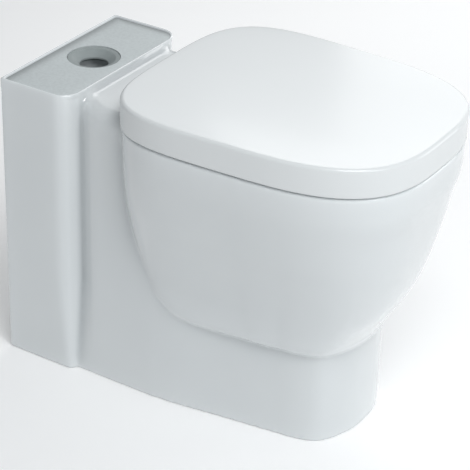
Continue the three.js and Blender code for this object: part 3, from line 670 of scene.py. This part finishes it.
def rear_box():
    rings = [box_ring(z, 0.0, BOX_FOOT_ROUND + z / GROOVE_FADE * (BOX_ROUND - BOX_FOOT_ROUND))
             for z in np.linspace(0, GROOVE_FADE, 16)]
    rings += [box_ring(BOX_TOP - BOX_EDGE), box_ring(BOX_TOP, BOX_EDGE)]
    return loft("rear_box", rings)


def bowl(depth):
    rings = []
    for drop in np.concatenate([np.linspace(1, 0.7, 14), np.linspace(0.67, 0, 24)]):
        wide, front, rear = shares(BOWL, drop)
        front, rear = front * BOWL_FRONT, rear * BOWL_REAR
        form = dict(half=wide * BOWL_HALF + depth, front=front + depth, rear=rear + depth, pf=2.5, pr=2.8,
                    middle=(rear - front) / 2 * min(1, drop * 2))
        rings.append(at_height(plan(form, 0, 60), RIM - drop * BOWL_DEEP - (depth if drop == 1 else 0)))
    if depth == 0:
        rings.append(rings[-1] + (0, 0, 1))
    return loft("bowl", rings)


def trap(radius):
    """A round pipe from the bowl's sump, down, up over the weir and down to the outlet."""
    half = TRAP / 2
    line = [(0, TRAP), (0.5, -half), (1.5, -TRAP_DIP), (2.5, -half), (3, TRAP),
            (3.75, TRAP_RISE), (4.75, TRAP_RISE - half)]
    pts = [(BOWL_REAR / 4 + TRAP_RUN * run, SUMP + up) for run, up in line]
    pts += [(OUTLET_START - TRAP_RUN / 2, OUTLET_Z + half), (OUTLET_START + TRAP, OUTLET_Z)]
    pts = np.array(pts)
    path = through(np.vstack([2 * pts[0] - pts[1], pts, 2 * pts[-1] - pts[-2]]), 14)
    path = spread(np.vstack([path, pts[-1]]), 90)
    along = np.gradient(path, axis=0)
    along /= np.linalg.norm(along, axis=1)[:, None]
    a = np.linspace(0, TURN, 41)[:-1][::-1]
    across, out = radius * np.cos(a), radius * np.sin(a)
    return loft("trap", [np.column_stack([across, y - tz * out, z + ty * out])
                         for (y, z), (ty, tz) in zip(path, along)])


def by_the_neck(co):
    """Near 1 in the upright hollow between box and neck, and where the deck's rolled edge meets the tub."""
    x, y, z = co.T * 1000
    x, y = abs(x), y - SHIFT
    line = np.hypot(x - (SKIRT_HALF - GROOVE_DEEP), y - BOX_FRONT)
    near = fade(line, 34, 18) * fade(z, 0, GROOVE_FADE) * fade(x, BOX_HALF - 2, BOX_HALF - 8)
    near *= fade(y, BOX_FRONT + 14, BOX_FRONT + 6) * fade(z, RIM + 10.5, RIM + 3)
    edge = fade(x, 78, 100) * fade(y, 150, 175) * fade(y, BOX_FRONT + 2, BOX_FRONT - 8)
    edge *= fade(z, RIM - 45, RIM - 25) * fade(x, 150, 130)
    return np.maximum(near * 0.9, edge * 0.8)


def less_at_the_rim(co):
    return np.where(co[:, 2] > (RIM - 5) / 1000, 0.45, 1.0)


def casting():
    """Tub, skirt and box as one skin, hollowed out, with the bowl, the trap and the water ways inside."""
    body = combine(tub(), skirt(), "UNION")
    combine(body, rear_box(), "UNION")
    cove = [(BOX_FRONT + 1, RIM - 1), (BOX_FRONT + 1, RIM + COVE)]
    cove += [(BOX_FRONT - inward, RIM + COVE - up) for inward, up in roll(COVE, 9)]
    cove.append((BOX_FRONT - COVE, RIM - 1))
    half = SKIRT_HALF - GROOVE_DEEP - DECK_ROLL / 2
    combine(body, side_plate("cove", cove, -half, half), "UNION")
    room = combine(tub(WALL, DECK_LOW), skirt(WALL, DECK_LOW), "UNION")
    inside = [box_ring(z, WALL, back=BOX_BACK + 1) for z in (-1, RECESS_FLOOR - WALL)]
    combine(room, loft("inside", inside), "UNION")
    side = DUCT_HALF + WALL
    for shell in (
        bowl(WALL),
        trap(TRAP + WALL),
        bar_y("outlet", OUTLET_ROUND, OUTLET_START, OUTLET_END),
        block("duct", (-side, BOWL_REAR / 2, DUCT_FLOOR - WALL), (side, INLET_Y, DECK_LOW + 1)),
        upright("well", INLET_ROUND + WALL, 0, INLET_Y, DUCT_FLOOR - WALL, RECESS_FLOOR - 5),
    ):
        combine(room, shell, "DIFFERENCE")
    combine(body, room, "DIFFERENCE")
    for way in (
        bowl(0),
        trap(TRAP),
        bar_y("bore", OUTLET_BORE, OUTLET_START + WALL, OUTLET_END + 1),
        block("way", (-DUCT_HALF, BOWL_REAR / 2, DUCT_FLOOR), (DUCT_HALF, INLET_Y, DUCT_FLOOR + DUCT_TALL)),
        upright("inlet", INLET_ROUND, 0, INLET_Y, DUCT_FLOOR, BOX_TOP),
        loft("recess", [box_ring(z, LIP) for z in (RECESS_FLOOR, BOX_TOP + 1)]),
        upright("hole_right", BOLT_HOLE, HINGE_X, HINGE_Y, DECK_LOW - 1, RIM + 1, 40),
        upright("hole_left", BOLT_HOLE, -HINGE_X, HINGE_Y, DECK_LOW - 1, RIM + 1, 40),
    ):
        combine(body, way, "DIFFERENCE")
    mod = body.modifiers.new("skin", "REMESH")
    mod.mode, mod.voxel_size, mod.use_smooth_shade = "VOXEL", CELL, True
    bake(body)
    relax(body, 9, less_at_the_rim)
    soften(body, 38, 112, 0.0065, by_the_neck)
    body.name = "pan_casting"
    return body


finish_piece(casting(), "base", "glaze", GLAZE, "pan", "bowl", "trapway", "flush_way", "outlet_spigot")


# ---------------------------------------------------------------- lid
def eye(outline, side, near, far):
    """A plate that ends in a round eye on the hinge's axis, on the left or the right."""
    x0, x1 = (near, far) if side > 0 else (-far, -near)
    plate = side_plate("plate", outline, x0, x1)
    combine(plate, bar_x("round", HINGE_ROUND, x0, x1), "UNION")
    return combine(plate, bar_x("bore", BORE, x0 - 1, x1 + 1), "DIFFERENCE")


def lid():
    """One skin: the hollow inside, the lip, the band, the rounded edge and the crowned top."""
    count = 130
    x, y = plan(LID, 0, count).T
    rear = (y > BAND_REAR) & (np.abs(x) < BAND_REAR)
    rise = np.where(rear, fade(np.abs(x), BAND_HALF + BAND_RAMP, BAND_HALF - BAND_RAMP), 0)
    low = LID_LOW + rise * (HINGE_Z - 6 - LID_LOW)

    def ring(depth, z):
        return at_height(plan(LID, depth, count), z)

    inside, outside = LID_UNDER - LID_FILLET, LID_TOP - LID_EDGE
    rings = [ring(depth, LID_UNDER) for depth in (168, 150, 110, 60, 20)]
    rings += [ring(LID_WALL + inward, inside + up) for inward, up in roll(LID_FILLET, 5)[::-1]]
    rings += [ring(LID_WALL, low * (1 - t) + inside * t) for t in (0.8, 0.4)]
    rings += [ring(LID_WALL - inward, low + LID_LIP_IN - up) for inward, up in roll(LID_LIP_IN, 4)]
    rings += [ring(inward, low + LID_LIP_OUT - up) for inward, up in roll(LID_LIP_OUT, 4)[::-1]]
    rings += [ring(0, outside * (1 - t) + (low + LID_LIP_OUT) * t) for t in (0.9, 0.6, 0.3)]
    rings += [ring(inward, outside + up) for inward, up in roll(LID_EDGE, 9)[:-1]]
    for t in np.linspace(1, 0, 9)[:-1]:
        rings.append(ring(LID_FLAT + (LID_EDGE - LID_FLAT) * t, LID_TOP + LID_CROWN * (1 - t ** 2.2)))
    rings += [ring(t * LID_FLAT + (1 - t) * 170, LID_TOP + LID_CROWN) for t in (0.8, 0.6, 0.4, 0.2, 0.02)]
    body = loft("lid_shell", rings)
    front, rear, top = HINGE_Y - HINGE_ROUND, HINGE_Y + HINGE_ROUND, LID_UNDER + 2.5
    web = [(front, HINGE_Z), (rear, HINGE_Z), (rear, top), (front, top)]
    for side in (-1, 1):
        middle = side * HINGE_X
        notch = block("notch", (middle - 9, rear, LID_LOW - 1), (middle + 9, LID["rear"] + 1, HINGE_Z + 12))
        combine(body, notch, "DIFFERENCE")
        combine(body, eye(web, side, HINGE_X + LUG_NEAR, HINGE_X + LUG_FAR), "UNION")
    return smooth_shade(body)


finish_piece(lid(), "lid", "thermoset", PLASTIC, "lid")


# ---------------------------------------------------------------- seat
def seat():
    """One ring: its section from the outer edge over the top and through the hole back to the underside."""
    rear = HINGE_Y - 28
    outline = clipped(plan(LID, LID_WALL + 2, 160), rear, 14.0, 900)
    centre, count = np.array([0.0, -15.0]), 420

    def outer(depth):
        return by_angle(offset(outline, depth), centre, count)

    def inner(depth):
        return by_angle(plan(SEAT_HOLE, -depth, 160), centre, count)

    edge = SEAT_TOP - SEAT_EDGE
    rings = [at_height(outer(depth), z) for depth, z in (
        (2.5, SEAT_LOW), (0.8, SEAT_LOW + 0.7), (0, SEAT_LOW + 2.5), (0, edge), (0.3, edge + 1.7),
        (0.8, edge + 2.7), (1.5, edge + 3.57), (2.5, edge + 4.33), (5, edge + SEAT_EDGE))]
    for t in (0.15, 0.35, 0.55, 0.75, 0.92):
        between = outer(5) * (1 - t) + inner(10.5) * t
        rings.append(at_height(between, SEAT_TOP - 0.25 * max(0, t - 0.5) ** 2))
    for depth, drop in ((9.2, 0.5), (7.0, 1.75), (4.2, 4.0), (1.75, 7.0), (0.6, 10.0), (0.0, 14.6),
                        (1.2, 19.5), (2.3, 21.6)):
        rings.append(at_height(inner(depth), SEAT_TOP - drop))
    rings.append(at_height(inner(3.5), SEAT_LOW))
    body = loft("seat_ring", rings, wrap=True)
    arm = [(rear - 14, SEAT_TOP - 16), (HINGE_Y, HINGE_Z - HINGE_ROUND),
           (HINGE_Y, HINGE_Z + HINGE_ROUND), (rear - 14, SEAT_TOP - 2.5)]
    for side in (-1, 1):
        combine(body, eye(arm, side, HINGE_X - LUG_FAR, HINGE_X - LUG_NEAR), "UNION")
    for x, y in BUFFER_PLACES.values():
        pocket = upright("pocket", BUFFER_ROUND + GAP, x, y, SEAT_LOW - 1, SEAT_LOW + BUFFER_SINK + GAP, 32)
        combine(body, pocket, "DIFFERENCE")
    return smooth_shade(body)


finish_piece(seat(), "seat", "thermoset", PLASTIC, "seat")


# ---------------------------------------------------------------- hinges and their fixings
def hinge_base(x):
    disc = rounded(section(0, BASE_ROUND, BASE_LOW, BASE_TOP), 1.2)
    body = turned("hinge_base", disc, (x, HINGE_Y, 0), 96)
    front, rear, foot = HINGE_Y - HINGE_ROUND, HINGE_Y + HINGE_ROUND, BASE_LOW + 1.5
    x0, x1 = x - POST_HALF, x + POST_HALF
    post = side_plate("post", [(front, foot), (rear, foot), (rear, HINGE_Z), (front, HINGE_Z)], x0, x1)
    head = turned("head", rounded(section(0, HINGE_ROUND, x0, x1), 0.8), (0, HINGE_Y, HINGE_Z), 72, "X")
    combine(post, head, "UNION")
    combine(body, post, "UNION")
    combine(body, bar_x("bore", BORE, x0 - 1, x1 + 1), "DIFFERENCE")
    combine(body, upright("socket", BORE, x, HINGE_Y, BASE_LOW - 1, STUD_TOP + GAP, 40), "DIFFERENCE")
    return smooth_shade(body, 25)


def hinge_pin(side):
    ends = sorted((side * (HINGE_X - LUG_FAR), side * (HINGE_X + LUG_FAR)))
    pin = turned("hinge_pin", rounded(section(0, PIN, *ends), 0.7), (0, HINGE_Y, HINGE_Z), 40, "X")
    return smooth_shade(pin)


def stud(x):
    """A threaded rod with a chamfer at both ends."""
    steps, long = 36, STUD_TOP - STUD_LOW - 2 * CHAMFER
    rows = int(long / (PITCH / 5))
    j = np.arange(steps)

    def ring(radius, z):
        return at_height(np.column_stack([x + radius * np.cos(TURN * j / steps),
                                          HINGE_Y + radius * np.sin(TURN * j / steps)]), z)

    rings = [ring(PIN - CHAMFER, STUD_LOW)]
    for k in range(rows + 1):
        z = STUD_LOW + CHAMFER + long * k / rows
        turn = (z / PITCH - j / steps) % 1
        depth = THREAD * min(1.0, (z - STUD_LOW) / RUNOUT, (STUD_TOP - z) / RUNOUT)
        rings.append(ring(PIN - depth * np.abs(2 * turn - 1), z))
    rings.append(ring(PIN - CHAMFER, STUD_TOP))
    return smooth_shade(loft("stud", rings), 40)


def ring_piece(name, outline, x, steps=64):
    """A piece turned round a hinge's upright axis."""
    return smooth_shade(turned(name, outline, (x, HINGE_Y, 0), steps))


def wing_nut(x):
    hub = [(BORE, NUT_LOW), (6.4, NUT_LOW), (8, NUT_TOP), (BORE, NUT_TOP)]
    body = turned("wing_nut", rounded(hub, 0.6), (x, HINGE_Y, 0), 48)
    outline = rounded([(6, NUT_TOP - 2.5), (6, NUT_LOW), (15, NUT_LOW - 4), (19, NUT_LOW - 2),
                       (17, NUT_TOP - 3.33)], 1.6)
    n = len(outline)
    for side in (-1, 1):
        verts = [(x + side * across, HINGE_Y + y, z) for y in (-2, 2) for across, z in outline]
        faces = [list(range(n)), list(range(n, 2 * n))[::-1]]
        faces += [[k, n + k, n + (k + 1) % n, (k + 1) % n] for k in range(n)]
        wing = new_object("wing", verts, faces if side > 0 else [face[::-1] for face in faces])
        combine(body, wing, "UNION")
    return smooth_shade(body)


GASKET = rounded(section(BOLT_HOLE, BASE_ROUND, RIM + GAP, RIM + GAP + GASKET_TALL), 0.4)
CONE = rounded([(BORE, CONE_LOW), (10, CONE_LOW), (13, CONE_TOP), (7.2, CONE_TOP), (6.3, CONE_TOP + 3),
                (BORE, CONE_TOP + 3)], 0.5)
WASHER = rounded(section(BORE, 12, WASHER_LOW, WASHER_TOP), 0.4)
for hand, side in (("left", -1), ("right", 1)):
    x = side * HINGE_X
    for kind, obj, slot, look in (
        ("hinge_base", hinge_base(x), "chrome", CHROME),
        ("hinge_pin", hinge_pin(side), "steel", STEEL),
        ("hinge_gasket", ring_piece("gasket", GASKET, x, 96), "clear_rubber", CLEAR),
        ("stud", stud(x), "steel", STEEL),
        ("cone_washer", ring_piece("cone", CONE, x), "clear_rubber", CLEAR),
        ("flat_washer", ring_piece("washer", WASHER, x), "steel", STEEL),
        ("wing_nut", wing_nut(x), "nylon", NYLON),
    ):
        obj.name = f"{kind}_fine_{hand}"
        finish_piece(obj, "base", slot, look, f"{kind}_{hand}")

SEAT_BUFFER = rounded(section(0, BUFFER_ROUND, RIM + GAP, SEAT_LOW + BUFFER_SINK), 0.9)
LID_BUFFER = rounded([(0, SEAT_TOP + GAP), (5.5, SEAT_TOP + GAP),
                      (7, LID_UNDER - GAP), (0, LID_UNDER - GAP)], 1.4)
for place, (x, y) in BUFFER_PLACES.items():
    for part, outline, across in (
        ("seat", SEAT_BUFFER, x),
        ("lid", LID_BUFFER, x * (1 - LID_WALL / LID["half"])),
    ):
        foot = turned(f"{part}_buffer_fine_{place}", outline, (across, y, 0), 48)
        finish_piece(smooth_shade(foot), part, "clear_rubber", CLEAR, f"{part}_buffer_{place}")


# ---------------------------------------------------------------- cistern gasket and inlet seal
def pad():
    low = RECESS_FLOOR + GAP
    high = low + PAD_TALL
    body = loft("foam_pad", [box_ring(z, PAD_SIDE + inward) for inward, z in (
        (0, low), (0, high - 0.8), (0.3, high - 0.2), (0.9, high))])
    combine(body, upright("hole", PAD_HOLE, 0, INLET_Y, low - 1, high + 1, 96), "DIFFERENCE")
    return smooth_shade(body)


def inlet_seal():
    """A flange on the recess, a sleeve in the inlet and a funnel down into the well."""
    low, throat, funnel, flange = RECESS_FLOOR + GAP, 20, INLET_ROUND - GAP - 3, 37
    top, sleeve = low + 3, INLET_ROUND - GAP
    outline = [(throat, top - 12), (funnel, low - 4.5), (funnel, low - 16), (sleeve, low - 16),
               (sleeve, low), (flange, low), (flange, top), (funnel, top - 1), (throat, top - 9)]
    return smooth_shade(turned("inlet_seal_fine", rounded(outline, 0.9, 5), (0, INLET_Y, 0), 128), 50)


finish_piece(pad(), "base", "foam", FOAM, "cistern_gasket")
finish_piece(inlet_seal(), "base", "grey_rubber", SEAL, "inlet_seal")

# ---------------------------------------------------------------- floor and light
floor_material, tree, shader = material("pale_floor", Roughness=0.9, Emission_Strength=0.11)
tree.links.new(ramp(tree, noise(tree, 1.2), [(0.3, (0.935, 0.935, 0.935)), (0.7, (0.95, 0.95, 0.95))]),
               shader.inputs["Base Color"])
corners = [(x * FLOOR_HALF, y * FLOOR_HALF, -FLOOR_DROP) for x, y in ((-1, -1), (1, -1), (1, 1), (-1, 1))]
floor = new_object("floor", corners, [(0, 1, 2, 3)])
floor.data.materials.append(floor_material)

world = bpy.data.worlds.new("studio")
bpy.context.scene.world = world
world.use_nodes = True
world.node_tree.nodes["Background"].inputs["Color"].default_value = (0.93, 0.97, 1.0, 1)
world.node_tree.nodes["Background"].inputs["Strength"].default_value = 0.30

LIGHT_AIM = Vector((0, 0, 0.25))
WHITE = (1, 1, 1)
for name, place, size, power, colour in (
    ("key", (-0.954, -1.137, 2.625), 1.1, 35, (0.98, 0.99, 1.0)),
    ("front_left", (-0.812, -2.231, 1.734), 1.1, 13.5, (0.95, 0.98, 1.0)),
    ("front_right_low", (1.961, -1.961, 0.640), 1.1, 9, WHITE),
    ("right", (3.0, -0.6, 1.2), 2.0, 8, WHITE),
    ("right_near", (1.9, 0.3, 1.0), 1.0, 4.2, WHITE),
    ("back_right", (1.6, 0.9, 1.7), 1.4, 4.0, WHITE),
    ("back_right_near", (1.3, 0.5, 1.7), 0.8, 3.3, WHITE),
):
    data = bpy.data.lights.new(name, "AREA")
    data.shape, data.size, data.size_y = "RECTANGLE", size, size
    data.energy, data.color = power, colour
    light = bpy.data.objects.new(name, data)
    light.location = place
    light.rotation_euler = (LIGHT_AIM - Vector(place)).to_track_quat("-Z", "Y").to_euler()
    bpy.context.scene.collection.objects.link(light)

# ---------------------------------------------------------------- camera, as fitted to the photo
# turn from +Y, tilt down and roll, in radians; the focal length and the picture's width in pixels
TURNED, TILTED, ROLLED = 1.0121625979, 0.5213133148, 0.0279252680
FOCAL, PICTURE, SENSOR, DISTANCE = 1933.57, 470, 36.0, 2.73107
CAMERA_AIM = Vector((0.034367, 0.024524, 0.200))
sin_turn, cos_turn, sin_tilt, cos_tilt = (f(a) for a in (TURNED, TILTED) for f in (math.sin, math.cos))
right = Vector((cos_turn, -sin_turn, 0))
ahead = Vector((sin_turn * cos_tilt, cos_turn * cos_tilt, -sin_tilt))
up = Vector((sin_turn * sin_tilt, cos_turn * sin_tilt, cos_tilt))
across = right * math.cos(ROLLED) + up * math.sin(ROLLED)
upward = up * math.cos(ROLLED) - right * math.sin(ROLLED)
camera_data = bpy.data.cameras.new("camera")
camera_data.sensor_width, camera_data.lens = SENSOR, FOCAL / PICTURE * SENSOR
camera_data.clip_start, camera_data.clip_end = 0.05, 60
camera = bpy.data.objects.new("camera", camera_data)
basis = Matrix((across, upward, -ahead)).transposed().to_4x4()
camera.matrix_world = Matrix.Translation(CAMERA_AIM - ahead * DISTANCE) @ basis
bpy.context.scene.collection.objects.link(camera)
bpy.context.scene.camera = camera
bpy.context.scene.view_settings.view_transform = "Standard"
